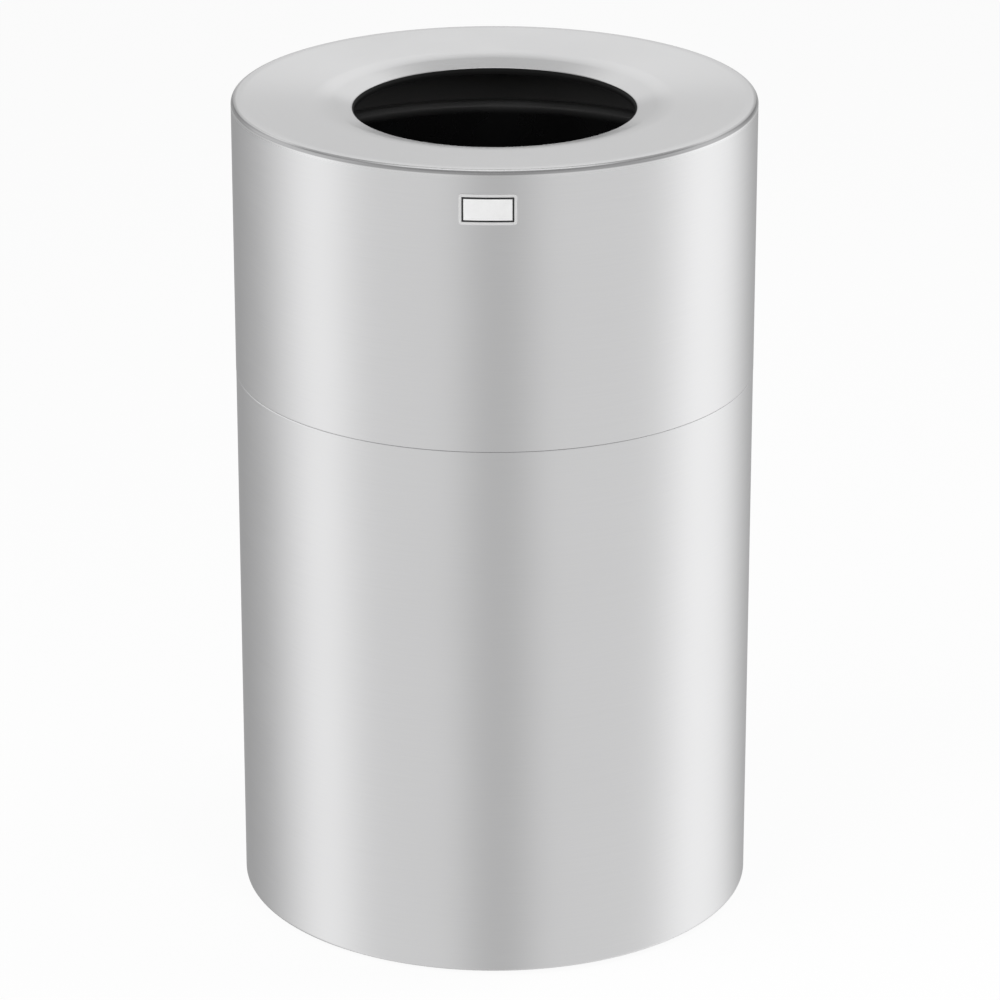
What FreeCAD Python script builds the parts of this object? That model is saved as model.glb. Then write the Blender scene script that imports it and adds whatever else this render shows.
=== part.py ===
import FreeCAD, Part
import Sketcher

import math
import os

# Open-top lobby bin in satin aluminium. A lower section stands on four rubber feet, a top section with a
# dished plate and a round mouth slips over the neck of the lower one, and a black liner stands inside.
# Millimetres, +Z up, origin on the floor under the middle of the bin, badge towards -Y.

SIZES = {
    # shells
    "outer_diameter": 572.0,
    "overall_height": 920.0,
    "seam_height": 611.0,
    "floor_clearance": 4.0,
    "shell_wall": 2.0,
    "bend_radius": 2.0,
    "bottom_return": 22.0,
    "seam_round": 1.2,
    "slip_gap": 0.4,
    "weld_gap": 0.2,
    # neck ring
    "neck_wall": 2.0,
    "neck_grip": 38.0,
    "neck_rise": 32.0,
    "neck_lead": 1.2,
    # top plate
    "plate_wall": 2.0,
    "rim_round": 6.0,
    "rim_land": 12.0,
    "rim_band": 8.0,
    "joint_round": 0.5,
    "skirt_depth": 22.0,
    "dish_drop": 5.5,
    "dish_blend": 60.0,
    "slope_width": 34.0,
    "slope_drop": 9.0,
    "slope_blend": 100.0,
    "mouth_diameter": 305.0,
    "lip_round": 5.0,
    "lip_depth": 6.0,
    # base pan
    "pan_wall": 2.0,
    "pan_rise": 10.0,
    "pan_step_inset": 7.0,
    "pan_flange": 24.0,
    "pan_round": 5.0,
    # feet and their fasteners
    "foot_count": 4,
    "foot_inset": 25.0,
    "foot_top_diameter": 40.0,
    "foot_low_diameter": 34.0,
    "foot_edge_round": 1.5,
    "sink_diameter": 18.0,
    "sink_depth": 9.0,
    "screw_diameter": 5.0,
    "screw_clearance": 0.5,
    "thread_gap": 0.1,
    "screw_stub": 2.0,
    "head_diameter": 9.6,
    "head_height": 3.4,
    "head_round": 2.4,
    "cross_width": 1.2,
    "cross_span": 5.0,
    "cross_depth": 1.6,
    "washer_diameter": 15.0,
    "washer_thickness": 1.2,
    "nut_flats": 8.0,
    "nut_height": 5.0,
    "nut_flange_diameter": 11.8,
    "nut_flange_height": 1.4,
    # badge
    "badge_width": 61.0,
    "badge_height": 33.0,
    "badge_thickness": 1.2,
    "badge_corner": 3.5,
    "badge_border": 3.2,
    "badge_recess": 0.4,
    "badge_below_top": 42.0,
    "glue_gap": 0.15,
    # liner
    "liner_wall": 3.0,
    "liner_below_top": 83.0,
    "liner_clearance": 4.6,
    "liner_rim_skirt": 26.0,
    "liner_rim_width": 17.0,
    "liner_rim_round": 6.5,
    "liner_taper": 22.0,
    "liner_nut_room": 1.0,
    "liner_foot_width": 26.0,
    "liner_floor_rise": 8.0,
    "liner_round": 6.0,
}

SHEET = "Sizes"
FULL_TURN = 360.0

# How a sketch numbers its two axes and the points of a line, arc or circle.
UP_AXIS, ACROSS_AXIS = range(-2, 0)
WHOLE, START, END, CENTRE = range(4)

TAN_22_5 = math.tan(math.radians(22.5))
TAN_30 = math.tan(math.radians(30.0))

doc = FreeCAD.newDocument("open_top_bin")


# A length, held both as a number and as the formula that gives it from the sheet.
class Size:
    def __init__(self, formula, value):
        self.formula = formula
        self.value = value

    def __add__(self, other):
        return joined(self, "+", other, self.value + number(other))

    def __sub__(self, other):
        return joined(self, "-", other, self.value - number(other))

    def __mul__(self, factor):
        return joined(self, "*", factor, self.value * number(factor))

    def __truediv__(self, divisor):
        return joined(self, "/", divisor, self.value / number(divisor))

    def __neg__(self):
        return Size(f"(-1 * {self.formula})", -self.value)


def number(term):
    return term.value if isinstance(term, Size) else float(term)


def formula(term):
    return term.formula if isinstance(term, Size) else repr(float(term))


def joined(left, sign, right, value):
    return Size(f"({formula(left)} {sign} {formula(right)})", value)


def make_sheet():
    sheet = doc.addObject("Spreadsheet::Sheet", SHEET)
    for row, (alias, value) in enumerate(SIZES.items(), start=1):
        sheet.set(f"A{row}", alias)
        sheet.set(f"B{row}", str(value))
        sheet.setAlias(f"B{row}", alias)
    doc.recompute()
    return sheet


sheet = make_sheet()


def size(alias):
    return Size(f"{SHEET}.{alias}", float(getattr(sheet, alias)))


ZERO = Size("0", 0.0)


# Sketches: an outline is a list of corners (across, up) or (across, up, rounding).

def new_sketch(body, name, plane, lift=None):
    sketch = body.newObject("Sketcher::SketchObject", name)
    support = next(f for f in body.Origin.OriginFeatures if f.Role == plane)
    sketch.AttachmentSupport = (support, "")
    sketch.MapMode = "FlatFace"
    if lift is not None:
        sketch.setExpression("AttachmentOffset.Base.z", lift.formula)
    return sketch


def bind(sketch, kind, geometry, target):
    index = sketch.addConstraint(Sketcher.Constraint(kind, *geometry, target.value))
    sketch.setExpression(f"Constraints[{index}]", target.formula)


# Fixes a point of the sketch at (across, up); a point on an axis is held by that axis.
def fix_point(sketch, geo, spot, across, up):
    if across.value == 0:
        sketch.addConstraint(Sketcher.Constraint("PointOnObject", geo, spot, UP_AXIS))
    else:
        bind(sketch, "DistanceX", (ACROSS_AXIS, START, geo, spot), across)
    if up.value == 0:
        sketch.addConstraint(Sketcher.Constraint("PointOnObject", geo, spot, ACROSS_AXIS))
    else:
        bind(sketch, "DistanceY", (ACROSS_AXIS, START, geo, spot), up)


# Where the rounding of a corner leaves its two sides, its centre, and whether it turns left.
def rounding(before, corner, after, radius):
    into = (corner - before).normalize()
    away = (after - corner).normalize()
    turn = math.atan2(into.x * away.y - into.y * away.x, into * away)
    reach = radius * math.tan(abs(turn) / 2)
    first = corner - into * reach
    last = corner + away * reach
    left = turn > 0
    side = FreeCAD.Vector(-into.y, into.x, 0) * (1 if left else -1)
    return first, last, first + side * radius, left


def draw_outline(sketch, corners):
    count = len(corners)
    places = [FreeCAD.Vector(c[0].value, c[1].value, 0) for c in corners]
    starts, ends, arcs = list(places), list(places), {}
    for i, corner in enumerate(corners):
        if len(corner) == 3:
            following = places[(i + 1) % count]
            first, last, centre, left = rounding(places[i - 1], places[i], following, corner[2].value)
            ends[i], starts[i] = first, last
            arcs[i] = (first, last, centre, left, corner[2])
    lines = [
        sketch.addGeometry(Part.LineSegment(starts[i], ends[(i + 1) % count]), False)
        for i in range(count)
    ]
    for i, corner in enumerate(corners):
        line_in, line_out = lines[i - 1], lines[i]
        if i not in arcs:
            sketch.addConstraint(Sketcher.Constraint("Coincident", line_in, END, line_out, START))
            fix_point(sketch, line_out, START, corner[0], corner[1])
            continue
        first, last, centre, left, radius = arcs[i]
        circle = Part.Circle(centre, FreeCAD.Vector(0, 0, 1), radius.value)
        low, high = (circle.parameter(p) for p in ((first, last) if left else (last, first)))
        arc = sketch.addGeometry(Part.ArcOfCircle(circle, low, high), False)
        tip = sketch.addGeometry(Part.Point(places[i]), True)
        fix_point(sketch, tip, START, corner[0], corner[1])
        sketch.addConstraint(Sketcher.Constraint("PointOnObject", tip, START, line_in))
        sketch.addConstraint(Sketcher.Constraint("PointOnObject", tip, START, line_out))
        near, far = (START, END) if left else (END, START)
        sketch.addConstraint(Sketcher.Constraint("Tangent", line_in, END, arc, near))
        sketch.addConstraint(Sketcher.Constraint("Tangent", arc, far, line_out, START))
        bind(sketch, "Radius", (arc,), radius)


def draw_circle(sketch, across, up, diameter):
    place = FreeCAD.Vector(across.value, up.value, 0)
    circle = sketch.addGeometry(Part.Circle(place, FreeCAD.Vector(0, 0, 1), diameter.value / 2), False)
    fix_point(sketch, circle, CENTRE, across, up)
    bind(sketch, "Diameter", (circle,), diameter)


# Solids

def new_body(label):
    body = doc.addObject("PartDesign::Body", label)
    body.Label = label
    return body


# Turns an outline about Z, or about an upright line at the given distance from Z.
def turn(body, name, corners, axis_at=None):
    sketch = new_sketch(body, f"{body.Label}_{name}_outline", "XZ_Plane")
    draw_outline(sketch, corners)
    axis = "V_Axis"
    if axis_at is not None:
        foot = FreeCAD.Vector(axis_at.value, 0, 0)
        line = sketch.addGeometry(Part.LineSegment(foot, foot + FreeCAD.Vector(0, axis_at.value, 0)), True)
        fix_point(sketch, line, START, axis_at, ZERO)
        sketch.addConstraint(Sketcher.Constraint("Vertical", line))
        bind(sketch, "DistanceY", (line, START, line, END), axis_at)
        axis = "Axis0"
    feature = body.newObject("PartDesign::Revolution", f"{body.Label}_{name}")
    feature.Profile = sketch
    feature.ReferenceAxis = (sketch, [axis])
    feature.Angle = FULL_TURN
    doc.recompute()
    return feature


# Copies features round the middle of the bin, one for each foot.
def repeat_at_feet(body, features):
    pattern = body.newObject("PartDesign::PolarPattern", f"{body.Label}_pattern")
    pattern.Originals = features
    axis = next(f for f in body.Origin.OriginFeatures if f.Role == "Z_Axis")
    pattern.Axis = (axis, [""])
    pattern.Angle = FULL_TURN
    pattern.setExpression("Occurrences", f"{SHEET}.foot_count")
    body.Tip = pattern
    doc.recompute()


# Driving radii and heights shared by pieces that meet

wall = size("shell_wall")
top_radius = size("outer_diameter") / 2
top_bore = top_radius - wall
neck_radius = top_bore - size("slip_gap")
neck_bore = neck_radius - size("neck_wall")
base_bore = neck_radius + size("weld_gap")
base_radius = base_bore + wall
mouth_radius = size("mouth_diameter") / 2

top_height = size("overall_height")
seam = size("seam_height")
joint = top_height - size("rim_band")
shell_floor = size("floor_clearance")
pan_seat = shell_floor + wall
foot_height = pan_seat + size("pan_rise")
pan_top = foot_height + size("pan_wall")
return_end = base_radius - size("bottom_return")
pan_slope_foot = return_end - size("pan_step_inset")
pan_flat = pan_slope_foot - size("pan_rise")
foot_reach = pan_flat - size("foot_inset")
washer_top = size("sink_depth")
head_seat = washer_top - size("washer_thickness")


def make_lower_shell():
    body = new_body("lower_shell")
    inside_bend = size("bend_radius")
    turn(body, "wall", [
        (return_end, shell_floor),
        (base_radius, shell_floor, inside_bend + wall),
        (base_radius, seam, size("seam_round")),
        (base_bore, seam),
        (base_bore, pan_seat, inside_bend),
        (return_end, pan_seat),
    ])
    return body


def make_neck_ring():
    body = new_body("neck_ring")
    low = seam - size("neck_grip")
    high = seam + size("neck_rise")
    turn(body, "band", [
        (neck_bore, low),
        (neck_radius, low),
        (neck_radius, high, size("neck_lead")),
        (neck_bore, high),
    ])
    return body


# Pressed pan, raised in the middle, with an upright flange welded inside the lower shell.
def make_base_pan():
    body = new_body("base_pan")
    thick = size("pan_wall")
    inside_bend = size("bend_radius")
    radius = base_bore - size("weld_gap")
    flange_top = pan_seat + size("pan_flange")
    shift = thick * TAN_22_5
    curve = size("pan_round")
    turn(body, "plate", [
        (ZERO, foot_height),
        (pan_flat, foot_height, curve),
        (pan_slope_foot, pan_seat, curve + thick),
        (radius, pan_seat, inside_bend + thick),
        (radius, flange_top),
        (radius - thick, flange_top),
        (radius - thick, pan_seat + thick, inside_bend),
        (pan_slope_foot + shift, pan_seat + thick, curve),
        (pan_flat + shift, pan_top, curve + thick),
        (ZERO, pan_top),
    ])
    sketch = new_sketch(body, "base_pan_hole", "XY_Plane")
    draw_circle(sketch, foot_reach, ZERO, size("screw_diameter") + size("screw_clearance"))
    hole = body.newObject("PartDesign::Pocket", "base_pan_screw_hole")
    hole.Profile = sketch
    hole.Type = "ThroughAll"
    hole.Reversed = True
    doc.recompute()
    repeat_at_feet(body, [hole])
    return body


def make_rubber_foot(index):
    body = new_body(f"rubber_foot_{index + 1}")
    hole = (size("screw_diameter") + size("screw_clearance")) / 2
    sink = size("sink_diameter") / 2
    edge = size("foot_edge_round")
    turn(body, "block", [
        (sink, ZERO),
        (size("foot_low_diameter") / 2, ZERO, edge),
        (size("foot_top_diameter") / 2, foot_height, edge),
        (hole, foot_height),
        (hole, size("sink_depth")),
        (sink, size("sink_depth")),
    ])
    bearing = f"({index} * {FULL_TURN} / {SHEET}.foot_count)"
    body.setExpression("Placement.Base.x", f"{foot_reach.formula} * cos({bearing} * 1 deg)")
    body.setExpression("Placement.Base.y", f"{foot_reach.formula} * sin({bearing} * 1 deg)")
    return body


def make_foot_washers():
    body = new_body("foot_washers")
    hole = foot_reach + (size("screw_diameter") + size("screw_clearance")) / 2
    edge = foot_reach + size("washer_diameter") / 2
    ring = turn(body, "ring", [
        (hole, head_seat),
        (edge, head_seat),
        (edge, washer_top),
        (hole, washer_top),
    ], foot_reach)
    repeat_at_feet(body, [ring])
    return body


# Pan head screws, head down in the sink of the foot, with a cross recess.
def make_foot_screws():
    body = new_body("foot_screws")
    head_low = head_seat - size("head_height")
    shank = foot_reach + size("screw_diameter") / 2 - size("thread_gap")
    head = foot_reach + size("head_diameter") / 2
    tip = pan_top + size("nut_height") + size("screw_stub")
    blank = turn(body, "blank", [
        (foot_reach, head_low),
        (head, head_low, size("head_round")),
        (head, head_seat),
        (shank, head_seat),
        (shank, tip),
        (foot_reach, tip),
    ], foot_reach)
    arm, half = size("cross_span") / 2, size("cross_width") / 2
    sketch = new_sketch(body, "foot_screws_cross", "XY_Plane", head_low)
    draw_outline(sketch, [
        (foot_reach + arm, -half), (foot_reach + arm, half), (foot_reach + half, half),
        (foot_reach + half, arm), (foot_reach - half, arm), (foot_reach - half, half),
        (foot_reach - arm, half), (foot_reach - arm, -half), (foot_reach - half, -half),
        (foot_reach - half, -arm), (foot_reach + half, -arm), (foot_reach + half, -half),
    ])
    recess = body.newObject("PartDesign::Pocket", "foot_screws_recess")
    recess.Profile = sketch
    recess.setExpression("Length", f"{SHEET}.cross_depth")
    recess.Reversed = True
    doc.recompute()
    repeat_at_feet(body, [blank, recess])
    return body


def make_foot_nuts():
    body = new_body("foot_nuts")
    bore = foot_reach + size("screw_diameter") / 2
    flange = foot_reach + size("nut_flange_diameter") / 2
    flange_top = pan_top + size("nut_flange_height")
    ring = turn(body, "flange", [
        (bore, pan_top),
        (flange, pan_top),
        (flange, flange_top),
        (bore, flange_top),
    ], foot_reach)
    half = size("nut_flats") / 2
    short, tall = half * TAN_30, half * TAN_30 * 2
    sketch = new_sketch(body, "foot_nuts_hexagon", "XY_Plane", pan_top)
    draw_outline(sketch, [
        (foot_reach + half, -short), (foot_reach + half, short), (foot_reach, tall),
        (foot_reach - half, short), (foot_reach - half, -short), (foot_reach, -tall),
    ])
    draw_circle(sketch, foot_reach, ZERO, size("screw_diameter"))
    hexagon = body.newObject("PartDesign::Pad", "foot_nuts_hex")
    hexagon.Profile = sketch
    hexagon.setExpression("Length", f"{SHEET}.nut_height")
    doc.recompute()
    repeat_at_feet(body, [ring, hexagon])
    return body


def make_upper_shell():
    body = new_body("upper_shell")
    turn(body, "wall", [
        (top_bore, seam),
        (top_radius, seam, size("seam_round")),
        (top_radius, joint, size("joint_round")),
        (top_bore, joint),
    ])
    return body


# Spun plate: a rounded rim whose ledge sits on the upper shell, a skirt inside it, a shallow dish, a steeper
# slope round the mouth and a lip rolled down at its edge.
def make_top_plate():
    body = new_body("top_plate")
    thick = size("plate_wall")
    skirt = top_bore - size("weld_gap")
    skirt_low = joint - size("skirt_depth")
    land = top_radius - size("rim_land")
    dish_low = top_height - size("dish_drop")
    slope_top = mouth_radius + size("slope_width")
    slope_low = dish_low - size("slope_drop")
    slope_under = slope_low - thick + thick * size("slope_drop") / size("slope_width")
    lip_end = slope_low - size("lip_depth")
    lip, rim = size("lip_round"), size("rim_round")
    blend, bend = size("dish_blend"), size("slope_blend")
    turn(body, "spinning", [
        (mouth_radius, lip_end),
        (mouth_radius + thick, lip_end),
        (mouth_radius + thick, slope_under, lip - thick),
        (slope_top, dish_low - thick, bend - thick),
        (land, top_height - thick, blend + thick),
        (skirt - thick, top_height - thick, rim - thick),
        (skirt - thick, skirt_low),
        (skirt, skirt_low),
        (skirt, joint),
        (top_radius, joint, size("joint_round")),
        (top_radius, top_height, rim),
        (land, top_height, blend),
        (slope_top, dish_low, bend),
        (mouth_radius, slope_low, lip),
    ])
    return body


# Bare plate, curved to the shell, with a shallow field inside its border.
def make_badge_plate():
    body = new_body("badge_plate")
    back = top_radius + size("glue_gap")
    front = back + size("badge_thickness")
    middle = top_height - size("badge_below_top")
    half = size("badge_height") / 2
    border = size("badge_border")
    degrees = Size("180 / pi", 180 / math.pi)

    def sweep(kind, name, inner, outer, half_height, width):
        sketch = new_sketch(body, f"badge_plate_{name}_outline", "YZ_Plane")
        draw_outline(sketch, [
            (-outer, middle - half_height), (-inner, middle - half_height),
            (-inner, middle + half_height), (-outer, middle + half_height),
        ])
        feature = body.newObject(kind, f"badge_plate_{name}")
        feature.Profile = sketch
        feature.ReferenceAxis = (sketch, ["V_Axis"])
        feature.Midplane = True
        feature.setExpression("Angle", (degrees * width / front).formula)
        doc.recompute()
        return feature

    plate = sweep("PartDesign::Revolution", "blank", back, front, half, size("badge_width"))
    thickness = size("badge_thickness").value
    corners = [
        f"Edge{i + 1}" for i, edge in enumerate(plate.Shape.Edges)
        if isinstance(edge.Curve, Part.Line) and abs(edge.Length - thickness) < 0.01 * thickness
    ]
    rounded = body.newObject("PartDesign::Fillet", "badge_plate_corners")
    rounded.Base = (plate, corners)
    rounded.setExpression("Radius", f"{SHEET}.badge_corner")
    doc.recompute()
    field = front - size("badge_recess")
    field_width = size("badge_width") - border * 2
    sweep("PartDesign::Groove", "field", field, front + border, half - border, field_width)
    return body


# Rigid liner: a foot that passes inside the nuts, a 45 degree chamfer over them, a tapered wall and a rim
# rolled over into a skirt.
def make_liner():
    body = new_body("liner")
    thick = size("liner_wall")
    rim_top = top_height - size("liner_below_top")
    rim = neck_bore - size("liner_clearance")
    throat = rim - size("liner_rim_width")
    low = throat - size("liner_taper")
    nut_reach = size("nut_flats") / 2 + size("nut_height") + size("screw_stub")
    foot_outer = foot_reach - nut_reach - size("liner_nut_room")
    chamfer = low - foot_outer
    shift = thick * TAN_22_5
    foot_inner = foot_outer - size("liner_foot_width")
    floor_under = pan_top + size("liner_floor_rise")
    skirt_low = rim_top - size("liner_rim_skirt")
    roll, curve = size("liner_rim_round"), size("liner_round")
    turn(body, "moulding", [
        (ZERO, floor_under),
        (foot_inner - thick, floor_under),
        (foot_inner, pan_top),
        (foot_outer, pan_top, curve),
        (low, pan_top + chamfer, curve + thick),
        (throat, rim_top - thick),
        (rim - thick, rim_top - thick),
        (rim - thick, skirt_low),
        (rim, skirt_low),
        (rim, rim_top, roll),
        (throat - thick, rim_top, roll),
        (low - thick, pan_top + chamfer + shift, curve),
        (foot_outer - shift, pan_top + thick),
        (foot_inner, pan_top + thick),
        (foot_inner - thick, floor_under + thick),
        (ZERO, floor_under + thick),
    ])
    return body


def make_pieces():
    pieces = [make_lower_shell(), make_neck_ring(), make_base_pan()]
    pieces += [make_rubber_foot(i) for i in range(int(size("foot_count").value))]
    pieces += [make_foot_washers(), make_foot_screws(), make_foot_nuts()]
    pieces += [make_upper_shell(), make_top_plate(), make_badge_plate(), make_liner()]
    doc.recompute()
    return pieces


def check(pieces):
    for item in doc.Objects:
        if {"Invalid", "Error"} & set(item.State):
            raise RuntimeError(f"{item.Name} failed: {item.State}")
    for piece in pieces:
        if piece.Shape.isNull() or not piece.Shape.isValid() or not piece.Shape.Solids:
            raise RuntimeError(f"{piece.Label} has no valid solid")


def write(pieces):
    os.makedirs("parts", exist_ok=True)
    for piece in pieces:
        piece.Shape.exportStep(f"parts/{piece.Label}.step")
        print(f"{piece.Label}: {len(piece.Shape.Solids)} solid(s), {piece.Shape.Volume / 1000:.1f} cm3")


pieces = make_pieces()
check(pieces)
write(pieces)
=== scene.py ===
import math

import bpy
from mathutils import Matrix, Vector


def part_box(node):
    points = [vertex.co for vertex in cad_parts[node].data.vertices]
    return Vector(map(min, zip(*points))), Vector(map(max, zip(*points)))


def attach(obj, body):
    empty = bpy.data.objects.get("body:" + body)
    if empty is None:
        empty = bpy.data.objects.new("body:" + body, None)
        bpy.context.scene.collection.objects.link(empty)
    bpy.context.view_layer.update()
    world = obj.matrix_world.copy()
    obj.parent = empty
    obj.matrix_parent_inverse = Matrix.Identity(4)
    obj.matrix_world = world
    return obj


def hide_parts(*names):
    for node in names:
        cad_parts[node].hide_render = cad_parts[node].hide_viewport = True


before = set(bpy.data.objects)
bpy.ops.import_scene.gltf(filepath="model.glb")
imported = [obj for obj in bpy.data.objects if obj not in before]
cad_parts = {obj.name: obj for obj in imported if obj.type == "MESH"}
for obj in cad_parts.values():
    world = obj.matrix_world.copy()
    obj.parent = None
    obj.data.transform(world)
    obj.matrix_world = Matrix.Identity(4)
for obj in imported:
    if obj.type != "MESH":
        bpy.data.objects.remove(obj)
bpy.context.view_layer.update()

# Open-top lobby bin in satin aluminium. Metres, badge towards -Y.

lathe = {
    "segments": 240,  # round the bin
    "arcStep": math.radians(9),  # along a rounding
    "edgeHold": 0.0005,  # rings this close to a rounding keep flat runs flat
    "sharp": math.radians(30),  # corners over this angle stay crisp
}
texture = {
    "noiseSpan": (0.3, 0.7),  # where most of a noise's values lie
    "bumpDepth": 0.0002,
}


# shader helpers

def newMaterial(name):
    material = bpy.data.materials.new(name)
    material.use_nodes = True
    nodes = material.node_tree.nodes
    return material, nodes, material.node_tree.links, nodes["Principled BSDF"]


def addNode(nodes, kind, **settings):
    node = nodes.new(kind)
    for key, value in settings.items():
        setattr(node, key, value)
    return node


# A socket takes a plain value or another node's output.
def feed(links, socket, value):
    if isinstance(value, bpy.types.NodeSocket):
        links.new(value, socket)
    else:
        socket.default_value = value


def mathNode(nodes, links, operation, first, second=None):
    node = addNode(nodes, "ShaderNodeMath", operation=operation)
    feed(links, node.inputs[0], first)
    if second is not None:
        feed(links, node.inputs[1], second)
    return node.outputs[0]


def noiseNode(nodes, links, vector, scale, detail, rough=0.5):
    noise = addNode(nodes, "ShaderNodeTexNoise")
    for name, number in (("Scale", scale), ("Detail", detail), ("Roughness", rough)):
        noise.inputs[name].default_value = number
    links.new(vector, noise.inputs["Vector"])
    return noise.outputs["Fac"]


def mapRange(nodes, links, value, source, target, ease):
    ramp = addNode(nodes, "ShaderNodeMapRange", interpolation_type=ease)
    links.new(value, ramp.inputs["Value"])
    for name, number in zip(("From Min", "From Max", "To Min", "To Max"), (*source, *target)):
        ramp.inputs[name].default_value = number
    return ramp.outputs["Result"]


def spread(nodes, links, value, target, source=texture["noiseSpan"]):
    return mapRange(nodes, links, value, source, target, "LINEAR")


def fade(nodes, links, value, source, target=(0, 1)):
    return mapRange(nodes, links, value, source, target, "SMOOTHSTEP")


def grey(level):
    return (level, level, level, 1)


def tint(nodes, links, factor, first, second):
    mix = addNode(nodes, "ShaderNodeMix", data_type="RGBA")
    links.new(factor, mix.inputs["Factor"])
    feed(links, mix.inputs[6], first)  # its colour A
    feed(links, mix.inputs[7], second)  # its colour B
    return mix.outputs[2]  # its colour result


def bumpNode(nodes, links, height, strength):
    bump = addNode(nodes, "ShaderNodeBump")
    bump.inputs["Strength"].default_value = strength
    bump.inputs["Distance"].default_value = texture["bumpDepth"]
    links.new(height, bump.inputs["Height"])
    return bump.outputs["Normal"]


def objectPlace(nodes):
    return addNode(nodes, "ShaderNodeTexCoord").outputs["Object"]


# Height, radius and bearing of a place about the bin's axis.
def roundSpace(nodes, links, place):
    split = addNode(nodes, "ShaderNodeSeparateXYZ")
    links.new(place, split.inputs[0])
    flat = addNode(nodes, "ShaderNodeVectorMath", operation="MULTIPLY")
    flat.inputs[1].default_value = (1, 1, 0)
    links.new(place, flat.inputs[0])
    radius = addNode(nodes, "ShaderNodeVectorMath", operation="LENGTH")
    links.new(flat.outputs[0], radius.inputs[0])
    bearing = addNode(nodes, "ShaderNodeVectorMath", operation="NORMALIZE")
    links.new(flat.outputs[0], bearing.inputs[0])
    return {
        "height": split.outputs["Z"],
        "radius": radius.outputs["Value"],
        "bearing": bearing.outputs[0],
    }


# finishes: a noise is its scale, its detail and sometimes its roughness

satin = {
    "dark": (0.88, 0.88, 0.885, 1),
    "light": (0.93, 0.93, 0.935, 1),
    "lines": (1.0, 3.0, 0.6),
    "along": 5.0,  # brush lines run slowly round the bin
    "across": 900.0,  # and fast along its height and radius
    "clouds": (9.0, 3.0),
    "cloudShare": 0.5,
    "streakSpan": (0.5, 1.0),  # lines and clouds together, for the roughness
    "bump": 0.05,
    "brushTurn": 0.25,  # gloss spreads across the brush lines
    "rimShadeColour": (0.48, 0.48, 0.485, 1),  # painted shade: a darker band on the rim's rounding that stands in for the dark reflection along the rim
    "rimShadeLow": (0.0056, 0.0044),  # below the top, where that band begins and where it is full
    "rimShadeIn": (0.0027, 0.0020),  # in from the rim, where it ends on the rounding
}
# Grazing is the share of the light that is left at a grazing angle.
wallSheen = {"rough": (0.30, 0.36), "anisotropy": 0.80, "grazing": 0.70}
plateSheen = {"rough": (0.20, 0.26), "anisotropy": 0.80, "grazing": 0.84}


def brushSpace(nodes, links, where):
    slow = addNode(nodes, "ShaderNodeVectorMath", operation="SCALE")
    slow.inputs["Scale"].default_value = satin["along"]
    links.new(where["bearing"], slow.inputs[0])
    rise = mathNode(nodes, links, "ADD", where["height"], where["radius"])
    fast = addNode(nodes, "ShaderNodeCombineXYZ")
    links.new(mathNode(nodes, links, "MULTIPLY", rise, satin["across"]), fast.inputs["Z"])
    total = addNode(nodes, "ShaderNodeVectorMath", operation="ADD")
    links.new(slow.outputs[0], total.inputs[0])
    links.new(fast.outputs[0], total.inputs[1])
    return total.outputs[0]


# 1 in the band of painted shade on the rim's rounding.
def rimShadeBand(nodes, links, where):
    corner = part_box("top_plate")[1]
    low = [corner.z - drop for drop in satin["rimShadeLow"]]
    inner = [corner.x - inset for inset in satin["rimShadeIn"]]
    above = fade(nodes, links, where["height"], low)
    return mathNode(nodes, links, "MULTIPLY", above, fade(nodes, links, where["radius"], inner))


def satinAluminium(name, sheen, paintedRimShade=False):
    material, nodes, links, shader = newMaterial(name)
    place = objectPlace(nodes)
    where = roundSpace(nodes, links, place)
    lines = noiseNode(nodes, links, brushSpace(nodes, links, where), *satin["lines"])
    clouds = noiseNode(nodes, links, place, *satin["clouds"])
    colour = tint(nodes, links, lines, satin["dark"], satin["light"])
    # painted shade: a darker band on the rim's rounding, in place of its dark reflection
    if paintedRimShade:
        colour = tint(nodes, links, rimShadeBand(nodes, links, where), colour, satin["rimShadeColour"])
    links.new(colour, shader.inputs["Base Color"])
    softer = mathNode(nodes, links, "MULTIPLY", clouds, satin["cloudShare"])
    streaks = mathNode(nodes, links, "ADD", lines, softer)
    links.new(spread(nodes, links, streaks, sheen["rough"], satin["streakSpan"]), shader.inputs["Roughness"])
    links.new(bumpNode(nodes, links, lines, satin["bump"]), shader.inputs["Normal"])
    shader.inputs["Metallic"].default_value = 1.0
    shader.inputs["Specular Tint"].default_value = grey(sheen["grazing"])
    shader.inputs["Anisotropic"].default_value = sheen["anisotropy"]
    shader.inputs["Anisotropic Rotation"].default_value = satin["brushTurn"]
    tangent = addNode(nodes, "ShaderNodeTangent", direction_type="RADIAL", axis="Z")
    links.new(tangent.outputs[0], shader.inputs["Tangent"])
    return material


plastic = {
    "dark": (0.006, 0.006, 0.0063, 1),
    "light": (0.009, 0.009, 0.0094, 1),
    "flow": (22.0, 4.0),
    "rough": (0.22, 0.32),
    "grain": (900.0, 2.0),
    "bump": 0.18,
    # paler rim colour: partly wear, partly a painted highlight for the rim's sheen
    "scuffAndSheen": grey(0.100),
    "scuffDull": 0.20,  # rougher where it is rubbed
    "wearAndSheenReach": 0.014,  # down from the rim
    "patches": (6.0, 1.0),
    "patchShare": (0.45, 1.0),
}
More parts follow.
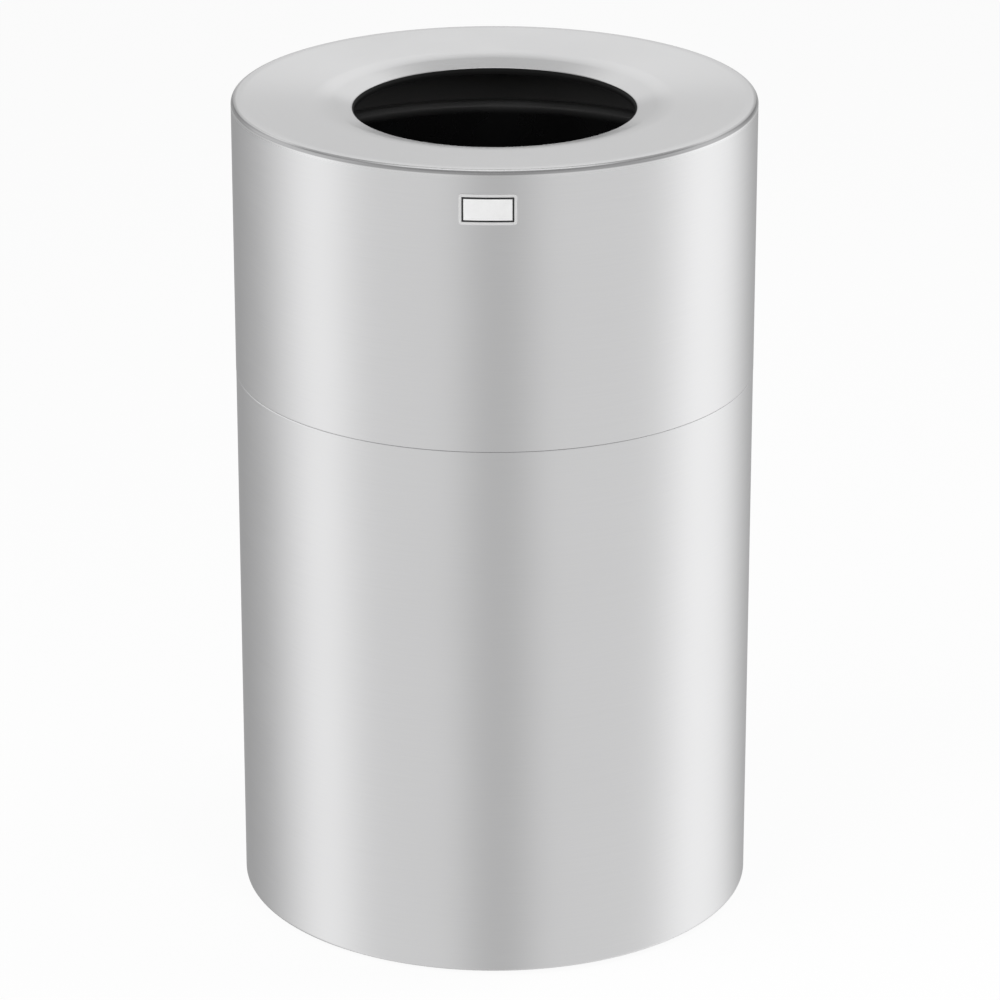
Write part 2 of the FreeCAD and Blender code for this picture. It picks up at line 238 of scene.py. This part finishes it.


# Black plastic, paler along the rim: partly rubbed where the liner is gripped and bags are hooked over it,
# partly a painted highlight for the sheen on the rim.
def linerPlastic(name):
    material, nodes, links, shader = newMaterial(name)
    place = objectPlace(nodes)
    grain = noiseNode(nodes, links, place, *plastic["grain"])
    flow = noiseNode(nodes, links, place, *plastic["flow"])
    moulded = tint(nodes, links, flow, plastic["dark"], plastic["light"])
    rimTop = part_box("liner")[1].z
    height = roundSpace(nodes, links, place)["height"]
    nearRim = fade(nodes, links, height, (rimTop - plastic["wearAndSheenReach"], rimTop))
    patches = spread(nodes, links, noiseNode(nodes, links, place, *plastic["patches"]), plastic["patchShare"])
    wearAndSheen = mathNode(nodes, links, "MULTIPLY", nearRim, patches)
    # the paler rim is part wear, part painted highlight
    links.new(tint(nodes, links, wearAndSheen, moulded, plastic["scuffAndSheen"]), shader.inputs["Base Color"])
    gloss = spread(nodes, links, flow, plastic["rough"])
    dull = mathNode(nodes, links, "MULTIPLY", wearAndSheen, plastic["scuffDull"])
    links.new(mathNode(nodes, links, "ADD", gloss, dull), shader.inputs["Roughness"])
    links.new(bumpNode(nodes, links, grain, plastic["bump"]), shader.inputs["Normal"])
    return material


mill = {
    "dark": (0.60, 0.60, 0.61, 1),
    "light": (0.72, 0.72, 0.73, 1),
    "clouds": (18.0, 4.0),
    "stretch": (900, 14, 14),  # rolling lines run along Y
    "lines": (1.0, 3.0),
    "rough": (0.40, 0.54),
    "bump": 0.08,
}


def millAluminium(name):
    material, nodes, links, shader = newMaterial(name)
    place = objectPlace(nodes)
    stretch = addNode(nodes, "ShaderNodeMapping")
    stretch.inputs["Scale"].default_value = mill["stretch"]
    links.new(place, stretch.inputs["Vector"])
    lines = noiseNode(nodes, links, stretch.outputs[0], *mill["lines"])
    clouds = noiseNode(nodes, links, place, *mill["clouds"])
    links.new(tint(nodes, links, clouds, mill["dark"], mill["light"]), shader.inputs["Base Color"])
    links.new(spread(nodes, links, lines, mill["rough"]), shader.inputs["Roughness"])
    links.new(bumpNode(nodes, links, lines, mill["bump"]), shader.inputs["Normal"])
    shader.inputs["Metallic"].default_value = 1.0
    return material


shellPaint = {
    "dark": grey(0.056),
    "light": grey(0.070),
    "clouds": (14.0, 3.0),
    "rough": (0.42, 0.54),
    "grain": (420.0, 2.0),  # orange peel
    "bump": 0.12,
    "gloss": 0.35,
}
# Painted shade: the lip's black is far darker than the inside paint, so the lit lip stays as dark as the
# shaded mouth edge.
lipPaintAndShade = {**shellPaint, "dark": grey(0.006), "light": grey(0.009), "gloss": 0.10}
footRubber = {
    "dark": grey(0.018),
    "light": (0.040, 0.039, 0.037, 1),  # dust
    "clouds": (60.0, 4.0),
    "rough": (0.70, 0.88),
    "grain": (1400.0, 2.0),
    "bump": 0.25,
}
zincPlate = {
    "dark": (0.50, 0.51, 0.52, 1),
    "light": (0.66, 0.66, 0.65, 1),
    "clouds": (240.0, 3.0),  # spangle
    "rough": (0.26, 0.40),
    "metallic": 1.0,
}
badgeRim = {"dark": grey(0.56), "light": grey(0.62), "clouds": (160.0, 3.0), "rough": (0.30, 0.40)}
badgeLine = {
    **badgeRim,
    "dark": (0.012, 0.012, 0.013, 1),
    "light": (0.020, 0.020, 0.021, 1),
    "rough": (0.27, 0.37),
}
badgeField = {**badgeRim, "dark": grey(0.73), "light": grey(0.79), "rough": (0.35, 0.45)}


# Colour and roughness drift together in soft clouds, and some finishes have a fine grain.
def cloudedFinish(name, look):
    material, nodes, links, shader = newMaterial(name)
    place = objectPlace(nodes)
    clouds = noiseNode(nodes, links, place, *look["clouds"])
    links.new(tint(nodes, links, clouds, look["dark"], look["light"]), shader.inputs["Base Color"])
    links.new(spread(nodes, links, clouds, look["rough"]), shader.inputs["Roughness"])
    if "grain" in look:
        grain = noiseNode(nodes, links, place, *look["grain"])
        links.new(bumpNode(nodes, links, grain, look["bump"]), shader.inputs["Normal"])
    if "gloss" in look:
        shader.inputs["Specular IOR Level"].default_value = look["gloss"]
    shader.inputs["Metallic"].default_value = look.get("metallic", 0.0)
    return material


finishes = {
    "satin": satinAluminium("satin_aluminium", wallSheen),
    # the spun top plate carries the band of painted shade on its rim
    "spun": satinAluminium("spun_aluminium", plateSheen, True),
    "paint": cloudedFinish("black_paint", shellPaint),
    "lip": cloudedFinish("lip_paint_and_shade", lipPaintAndShade),
    "plastic": linerPlastic("liner_plastic"),
    "mill": millAluminium("mill_aluminium"),
    "rubber": cloudedFinish("foot_rubber", footRubber),
    "zinc": cloudedFinish("zinc_steel", zincPlate),
    "badgeRim": cloudedFinish("badge_rim", badgeRim),
    "badgeLine": cloudedFinish("badge_line", badgeLine),
    "badgeField": cloudedFinish("badge_field", badgeField),
}
print("finishes:", len(finishes))


# meshes

# Points of a closed outline of corners (radius, height) or (radius, height, rounding).
def outlinePoints(corners):
    points = []
    count = len(corners)
    for i, corner in enumerate(corners):
        here = Vector(corner[:2])
        if len(corner) == 2:
            points.append(here)
            continue
        into = (here - Vector(corners[i - 1][:2])).normalized()
        away = (Vector(corners[(i + 1) % count][:2]) - here).normalized()
        turn = math.atan2(into.x * away.y - into.y * away.x, into.dot(away))
        setback = corner[2] * math.tan(abs(turn) / 2)
        first = here - into * setback
        side = Vector((-into.y, into.x)) * math.copysign(1, turn)
        centre = first + side * corner[2]
        arm = first - centre
        steps = max(2, math.ceil(abs(turn) / lathe["arcStep"]))
        points.append(first - into * lathe["edgeHold"])
        for k in range(steps + 1):
            swing = turn * k / steps
            points.append(centre + Vector((
                arm.x * math.cos(swing) - arm.y * math.sin(swing),
                arm.x * math.sin(swing) + arm.y * math.cos(swing),
            )))
        points.append(here + away * (setback + lathe["edgeHold"]))
    return points


# A piece turned about Z from a closed outline. A point on the axis is one vertex.
def turnedPiece(name, corners, body, node):
    points = outlinePoints(corners)
    segments = lathe["segments"]
    verts, rings, faces = [], [], []
    for point in points:
        copies = segments if point.x else 1
        rings.append([len(verts) + k % copies for k in range(segments)])
        for k in range(copies):
            angle = 2 * math.pi * k / segments
            verts.append((point.x * math.cos(angle), point.x * math.sin(angle), point.y))
    for i, ring in enumerate(rings):
        nextRing = rings[(i + 1) % len(rings)]
        for k in range(segments):
            m = (k + 1) % segments
            face = tuple(dict.fromkeys((ring[k], ring[m], nextRing[m], nextRing[k])))
            if len(face) > 2:
                faces.append(face)
    return placePiece(name, verts, faces, body, node)


def placePiece(name, verts, faces, body, node):
    mesh = bpy.data.meshes.new(name)
    mesh.from_pydata(verts, [], faces)
    mesh.validate()
    mesh.shade_smooth()
    mesh.set_sharp_from_angle(angle=lathe["sharp"])
    piece = bpy.data.objects.new(name, mesh)
    bpy.context.scene.collection.objects.link(piece)
    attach(piece, body)
    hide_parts(node)
    return piece


# Where a piece has more than one finish, the pick names a face's own.
def dress(piece, names, pick=None):
    piece.data.materials.clear()
    for name in names:
        piece.data.materials.append(finishes[name])
    if pick:
        for face in piece.data.polygons:
            face.material_index = names.index(pick(face))


def fromAxis(point):
    return math.hypot(point.x, point.y)


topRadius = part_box("upper_shell")[1].x
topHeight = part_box("top_plate")[1].z
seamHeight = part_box("upper_shell")[0].z
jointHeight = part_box("upper_shell")[1].z

# lower section

lowerShell = {
    "radius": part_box("lower_shell")[1].x,
    "low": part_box("lower_shell")[0].z,
    "wall": 0.002,
    "bend": 0.002,
    "bottomReturn": 0.022,
    "seamRound": 0.0012,
    "millAbove": 0.001,  # over the bottom edge, where the plain inside begins
}
outer = lowerShell["radius"]
bore = outer - lowerShell["wall"]
low = lowerShell["low"]
returnEnd = outer - lowerShell["bottomReturn"]
piece = turnedPiece("lowerShell", [
    (returnEnd, low),
    (outer, low, lowerShell["bend"] + lowerShell["wall"]),
    (outer, seamHeight, lowerShell["seamRound"]),
    (bore, seamHeight),
    (bore, low + lowerShell["wall"], lowerShell["bend"]),
    (returnEnd, low + lowerShell["wall"]),
], "base", "lower_shell")


def lowerFinish(face):
    inside = fromAxis(face.center) < (outer + bore) / 2
    return "mill" if inside and face.center.z > low + lowerShell["millAbove"] else "satin"


dress(piece, ["satin", "mill"], lowerFinish)

neckRing = {
    "radius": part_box("neck_ring")[1].x,
    "low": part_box("neck_ring")[0].z,
    "high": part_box("neck_ring")[1].z,
    "wall": 0.002,
    "lead": 0.0012,
}
piece = turnedPiece("neckRing", [
    (neckRing["radius"] - neckRing["wall"], neckRing["low"]),
    (neckRing["radius"], neckRing["low"]),
    (neckRing["radius"], neckRing["high"], neckRing["lead"]),
    (neckRing["radius"] - neckRing["wall"], neckRing["high"]),
], "base", "neck_ring")
dress(piece, ["satin"])
print("lower section: shell and neck ring")

# upper section

upperShell = {
    "wall": 0.002,
    "seamRound": 0.0012,
    "paintReach": 0.0002,  # out from the bore
    "seamShadeDown": -0.9,  # faces that look down more than this are painted black: painted shade along the seam
}
topBore = topRadius - upperShell["wall"]
piece = turnedPiece("upperShell", [
    (topBore, seamHeight),
    (topRadius, seamHeight, upperShell["seamRound"]),
    (topRadius, jointHeight),  # ground flush with the top plate
    (topBore, jointHeight),
], "top", "upper_shell")


# The bore is black paint. The down-facing edge at the seam is painted black too, as painted shade in the
# seam.
def upperFinish(face):
    inside = fromAxis(face.center) < topBore + upperShell["paintReach"]
    return "paint" if inside or face.normal.z < upperShell["seamShadeDown"] else "satin"


dress(piece, ["satin", "paint"], upperFinish)

topPlate = {
    "wall": 0.002,
    "rimRound": 0.006,
    "rimLand": 0.012,
    "weldGap": 0.0002,
    "dishDrop": 0.0055,
    "dishBlend": 0.060,
    "slopeWidth": 0.034,  # steeper border round the mouth
    "slopeDrop": 0.009,
    "slopeBlend": 0.100,
    "mouthRadius": 0.1525,
    "lipRound": 0.005,
    "lipDepth": 0.006,
    "spunUp": 0.85,  # inside the skirt, faces that look up less than this are painted; on the lip's rounding this black also covers a highlight, as painted shade
}
thick = topPlate["wall"]
skirt = topBore - topPlate["weldGap"]
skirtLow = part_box("top_plate")[0].z
land = topRadius - topPlate["rimLand"]
mouth = topPlate["mouthRadius"]
dishLow = topHeight - topPlate["dishDrop"]
slopeTop = mouth + topPlate["slopeWidth"]
slopeLow = dishLow - topPlate["slopeDrop"]
slopeUnder = slopeLow - thick + thick * topPlate["slopeDrop"] / topPlate["slopeWidth"]
lipEnd = slopeLow - topPlate["lipDepth"]
piece = turnedPiece("topPlate", [
    (mouth, lipEnd),
    (mouth + thick, lipEnd),
    (mouth + thick, slopeUnder, topPlate["lipRound"] - thick),
    (slopeTop, dishLow - thick, topPlate["slopeBlend"] - thick),
    (land, topHeight - thick, topPlate["dishBlend"] + thick),
    (skirt - thick, topHeight - thick, topPlate["rimRound"] - thick),
    (skirt - thick, skirtLow),
    (skirt, skirtLow),
    (skirt, jointHeight),
    (topRadius, jointHeight),
    (topRadius, topHeight, topPlate["rimRound"]),
    (land, topHeight, topPlate["dishBlend"]),
    (slopeTop, dishLow, topPlate["slopeBlend"]),
    (mouth, slopeLow, topPlate["lipRound"]),
], "top", "top_plate")


# The underside is black like the inside of the shell, and so is the lip where it turns down, in a far darker
# black that is painted shade.
def plateFinish(face):
    out = fromAxis(face.center)
    if out >= skirt - thick / 2 or face.normal.z >= topPlate["spunUp"]:
        return "spun"
    return "lip" if out < mouth + topPlate["lipRound"] else "paint"


dress(piece, ["spun", "paint", "lip"], plateFinish)
print("upper section: shell and top plate")

# badge

badge = {
    "width": 0.061,
    "height": 0.033,
    "corner": 0.0035,
    "cornerLeast": 0.0004,
    "back": 0.00015,
    "thickness": 0.0012,
    "belowTop": 0.042,
    "edge": 0.0003,
    "rim": 0.0028,
    "line": 0.0020,
    "lineSink": 0.0004,
    "fieldSink": 0.00016,
    "cornerSteps": 6,
    "sideSteps": 24,
    "finishes": ["badgeRim", "badgeLine", "badgeField"],
}


# One rounded rectangle, inset from the badge's edge and standing off the shell.
def badgeRing(inset, lift):
    halfWide = badge["width"] / 2 - inset
    halfTall = badge["height"] / 2 - inset
    corner = max(badge["corner"] - inset, badge["cornerLeast"])
    flat = halfWide - corner
    bow = [math.pi / 2 * k / badge["cornerSteps"] for k in range(badge["cornerSteps"] + 1)]
    columns = [(-flat - corner * math.cos(a), corner * (1 - math.sin(a))) for a in bow]
    columns += [(-flat + 2 * flat * k / badge["sideSteps"], 0.0) for k in range(1, badge["sideSteps"])]
    columns += [(-x, drop) for x, drop in reversed(columns[:len(bow)])]
    middle = topHeight - badge["belowTop"]
    radius = topRadius + lift
    top, bottom = [], []
    for x, drop in columns:
        angle = x / (topRadius + badge["thickness"])
        across, deep = radius * math.sin(angle), -radius * math.cos(angle)
        top.append((across, deep, middle + halfTall - drop))
        bottom.append((across, deep, middle - halfTall + drop))
    return top + bottom[::-1]


front = badge["back"] + badge["thickness"]
lineStart = badge["rim"] + badge["edge"]
lineEnd = badge["rim"] + badge["line"]
ringPlan = [  # inset, stand-off and the finish of the band that starts here
    (0.0, badge["back"], "badgeRim"),
    (0.0, front - badge["edge"], "badgeRim"),
    (badge["edge"], front, "badgeRim"),
    (badge["rim"], front, "badgeRim"),
    (lineStart, front - badge["lineSink"], "badgeLine"),
    (lineEnd, front - badge["lineSink"], "badgeLine"),
    (lineEnd + badge["edge"], front - badge["fieldSink"], "badgeField"),
]
rings = [badgeRing(inset, lift) for inset, lift, finish in ringPlan]
size = len(rings[0])
faces, bands = [], []
for level, (inset, lift, finish) in enumerate(ringPlan[:-1]):
    for i in range(size):
        a, b = level * size + i, level * size + (i + 1) % size
        faces.append((a, a + size, b + size, b))
        bands.append(finish)
fieldStart = (len(ringPlan) - 1) * size
for start, finish, flip in ((0, "badgeRim", True), (fieldStart, "badgeField", False)):  # back and field
    for i in range(size // 2 - 1):
        quad = (start + i, start + i + 1, start + size - 2 - i, start + size - 1 - i)
        faces.append(quad if flip else quad[::-1])
        bands.append(finish)
piece = placePiece("badgePlate", sum(rings, []), faces, "top", "badge_plate")
dress(piece, badge["finishes"], lambda face: bands[face.index])
print("badge:", len(faces), "faces")

# liner

liner = {
    "rim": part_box("liner")[1].x,
    "top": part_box("liner")[1].z,
    "low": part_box("liner")[0].z,
    "wall": 0.003,
    "rimWidth": 0.017,
    "rimSkirt": 0.026,
    "rimRound": 0.0065,
    "taper": 0.022,
    "footOuter": 0.2098,
    "footWidth": 0.026,
    "footTurn": math.radians(45),  # slope between the wall and the foot
    "floorRise": 0.008,
    "round": 0.006,
}
wall = liner["wall"]
rim, rimTop = liner["rim"], liner["top"]
throat = rim - liner["rimWidth"]
heel = throat - liner["taper"]
footOuter = liner["footOuter"]
footInner = footOuter - liner["footWidth"]
foot = liner["low"]
heelHeight = foot + heel - footOuter
shift = wall * math.tan(liner["footTurn"] / 2)
floorUnder = foot + liner["floorRise"]
rimLow = rimTop - liner["rimSkirt"]
piece = turnedPiece("linerTub", [
    (0, floorUnder),
    (footInner - wall, floorUnder),
    (footInner, foot),
    (footOuter, foot, liner["round"]),
    (heel, heelHeight, liner["round"] + wall),
    (throat, rimTop - wall),
    (rim - wall, rimTop - wall),
    (rim - wall, rimLow),
    (rim, rimLow),
    (rim, rimTop, liner["rimRound"]),
    (throat - wall, rimTop, liner["rimRound"]),
    (heel - wall, heelHeight + shift, liner["round"]),
    (footOuter - shift, foot + wall),
    (footInner, foot + wall),
    (footInner - wall, floorUnder + wall),
    (0, floorUnder + wall),
], "liner", "liner")
dress(piece, ["plastic"])
print("liner: rim at", round(rimTop, 3))

# carried-over nodes

carried = {
    "base_pan": "mill",
    "rubber_foot_1": "rubber",
    "rubber_foot_2": "rubber",
    "rubber_foot_3": "rubber",
    "rubber_foot_4": "rubber",
    "foot_washers": "zinc",
    "foot_screws": "zinc",
    "foot_nuts": "zinc",
}
for node, finish in carried.items():
    dress(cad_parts[node], [finish])
print("carried over:", len(carried), "nodes")

# stage

studio = {
    "floorSize": 60.0,
    "floorColour": grey(0.95),
    "floorGlow": 0.90,  # share of the floor's white that the bin's shadow leaves
    "ambient": 0.55,
}
# Grey cards in the white studio that the metal mirrors. Degrees: bearing from the front, half widths of the
# even middle and of the whole card, then the heights between which it rises and falls away.
fromBelow = (-91, -90)  # no lower edge
cards = {
    "frontStrip": {"bearing": 3, "half": (2, 27), "shade": 0.28, "rise": fromBelow, "fall": (20, 40)},
    "frontWide": {"bearing": 8.5, "half": (60, 97.5), "shade": 0.335, "rise": fromBelow, "fall": (45, 65)},
    "backLeft": {"bearing": -138, "half": (8, 66), "shade": 0.56, "rise": fromBelow, "fall": (-12, 4)},
    "backRight": {"bearing": 165, "half": (3, 48), "shade": 0.43, "rise": fromBelow, "fall": (-12, 4)},
    "rearLeft": {"bearing": -150, "half": (6, 34), "shade": 0.44, "rise": (-8, 2), "fall": (29, 45)},
    "rearRight": {"bearing": 150, "half": (6, 34), "shade": 0.44, "rise": (-8, 2), "fall": (29, 45)},
    "backLow": {"bearing": 180, "half": (20, 50), "shade": 0.29, "rise": (-2, 5), "fall": (15, 21)},
    "overhead": {"bearing": 0, "half": (58, 110), "shade": 0.56, "rise": (40, 54), "fall": (80, 90)},
    "backHigh": {"bearing": 180, "half": (60, 110), "shade": 0.69, "rise": (34, 46), "fall": (58, 72)},
}


# 1 for rays that show the backdrop: to the camera, in gloss and through glass.
def backdropRays(nodes, links):
    path = addNode(nodes, "ShaderNodeLightPath")
    seen = mathNode(nodes, links, "MAXIMUM", path.outputs["Is Camera Ray"], path.outputs["Is Glossy Ray"])
    return mathNode(nodes, links, "MAXIMUM", seen, path.outputs["Is Transmission Ray"])


def mixShaders(nodes, links, factor, first, second, target):
    mix = addNode(nodes, "ShaderNodeMixShader")
    for socket, source in zip(mix.inputs, (factor, first.outputs[0], second.outputs[0])):
        links.new(source, socket)
    links.new(mix.outputs[0], target.inputs["Surface"])


def makeFloor():
    half = studio["floorSize"] / 2
    corners = [(-half, -half, 0), (half, -half, 0), (half, half, 0), (-half, half, 0)]
    mesh = bpy.data.meshes.new("floor")
    mesh.from_pydata(corners, [], [(0, 1, 2, 3)])
    floor = bpy.data.objects.new("floor", mesh)
    bpy.context.scene.collection.objects.link(floor)
    material, nodes, links, shader = newMaterial("pale_floor")
    shader.inputs["Base Color"].default_value = studio["floorColour"]
    shader.inputs["Roughness"].default_value = 1.0
    shader.inputs["Specular IOR Level"].default_value = 0.0
    glow = addNode(nodes, "ShaderNodeEmission")
    share = mathNode(nodes, links, "MULTIPLY", backdropRays(nodes, links), studio["floorGlow"])
    mixShaders(nodes, links, share, shader, glow, nodes["Material Output"])
    mesh.materials.append(material)
    floor.visible_glossy = False  # the metal mirrors the studio down to the floor line instead


# Share of the studio's white that the cards leave, by direction.
def studioShare(nodes, links):
    direction = addNode(nodes, "ShaderNodeTexCoord").outputs["Generated"]
    where = roundSpace(nodes, links, direction)
    height = mathNode(nodes, links, "DEGREES", mathNode(nodes, links, "ARCSINE", where["height"]))
    share = 1
    for card in cards.values():
        angle = math.radians(card["bearing"])
        facing = addNode(nodes, "ShaderNodeVectorMath", operation="DOT_PRODUCT")
        facing.inputs[1].default_value = (math.sin(angle), -math.cos(angle), 0)
        links.new(where["bearing"], facing.inputs[0])
        turn = mathNode(nodes, links, "ARCCOSINE", facing.outputs["Value"])
        away = mathNode(nodes, links, "DEGREES", turn)
        shade = fade(nodes, links, away, card["half"], (card["shade"], 0))
        for edge, target in ((card["rise"], (0, 1)), (card["fall"], (1, 0))):
            shade = mathNode(nodes, links, "MULTIPLY", shade, fade(nodes, links, height, edge, target))
        left = mathNode(nodes, links, "SUBTRACT", 1, shade)
        share = mathNode(nodes, links, "MULTIPLY", share, left)
    return share


def makeWorld():
    world = bpy.data.worlds.new("studio")
    bpy.context.scene.world = world
    world.use_nodes = True
    nodes, links = world.node_tree.nodes, world.node_tree.links
    ambient = nodes["Background"]
    ambient.inputs["Strength"].default_value = studio["ambient"]
    white = addNode(nodes, "ShaderNodeBackground")
    for background in (ambient, white):
        background.inputs["Color"].default_value = grey(1)
    inGloss = addNode(nodes, "ShaderNodeLightPath").outputs["Is Glossy Ray"]
    mirrored = mathNode(nodes, links, "MULTIPLY", inGloss, studioShare(nodes, links))
    plain = mathNode(nodes, links, "SUBTRACT", 1, inGloss)
    links.new(mathNode(nodes, links, "ADD", mirrored, plain), white.inputs["Strength"])
    mixShaders(nodes, links, backdropRays(nodes, links), ambient, white, nodes["World Output"])


softboxes = [
    {"name": "leftBox", "place": (-2.6, -1.2, 2.6), "size": 1.8, "power": 30.0},
    {"name": "rightBox", "place": (2.4, 0.6, 2.8), "size": 1.8, "power": 30.0},
    {"name": "leftFill", "place": (-2.0, -3.3, 2.4), "size": 1.2, "power": 32.0},
    {"name": "rightFill", "place": (2.0, -3.3, 2.4), "size": 1.2, "power": 32.0},
]


def makeSoftbox(box):
    lamp = bpy.data.lights.new(box["name"], "AREA")
    lamp.size = box["size"]
    lamp.energy = box["power"]
    holder = bpy.data.objects.new(box["name"], lamp)
    holder.location = box["place"]
    aim = Vector((0, 0, topHeight / 2)) - holder.location
    holder.rotation_euler = aim.to_track_quat("-Z", "Y").to_euler()
    holder.visible_glossy = False
    bpy.context.scene.collection.objects.link(holder)


makeFloor()
makeWorld()
for box in softboxes:
    makeSoftbox(box)
print("stage:", len(cards), "cards,", len(softboxes), "softboxes")

# camera

camera = {
    "distance": 4.9855,  # across the floor, from the bin's axis
    "height": 2.3446,
    "pitch": 20.818,  # degrees below level
    "bearing": 1.4,  # degrees round from the front, to the right
    "lens": 171.52,
    "sensor": 36.0,
    "clipEnd": 200.0,
    "offAxis": 5.6,  # pixels that the bin's axis stands left of the middle
    "frameWidth": 1000,
}


def makeCamera():
    data = bpy.data.cameras.new("camera")
    data.sensor_width = camera["sensor"]
    data.lens = camera["lens"]
    data.clip_end = camera["clipEnd"]
    holder = bpy.data.objects.new("camera", data)
    bearing = math.radians(camera["bearing"])
    across = camera["distance"] * math.sin(bearing)
    holder.location = (across, -camera["distance"] * math.cos(bearing), camera["height"])
    pixelAngle = data.sensor_width / data.lens / camera["frameWidth"]
    yaw = bearing - camera["offAxis"] * pixelAngle
    holder.rotation_euler = (math.radians(90 - camera["pitch"]), 0, yaw)
    bpy.context.scene.collection.objects.link(holder)
    bpy.context.scene.camera = holder


makeCamera()
bpy.context.scene.view_settings.view_transform = "Standard"
print("camera: lens", camera["lens"])
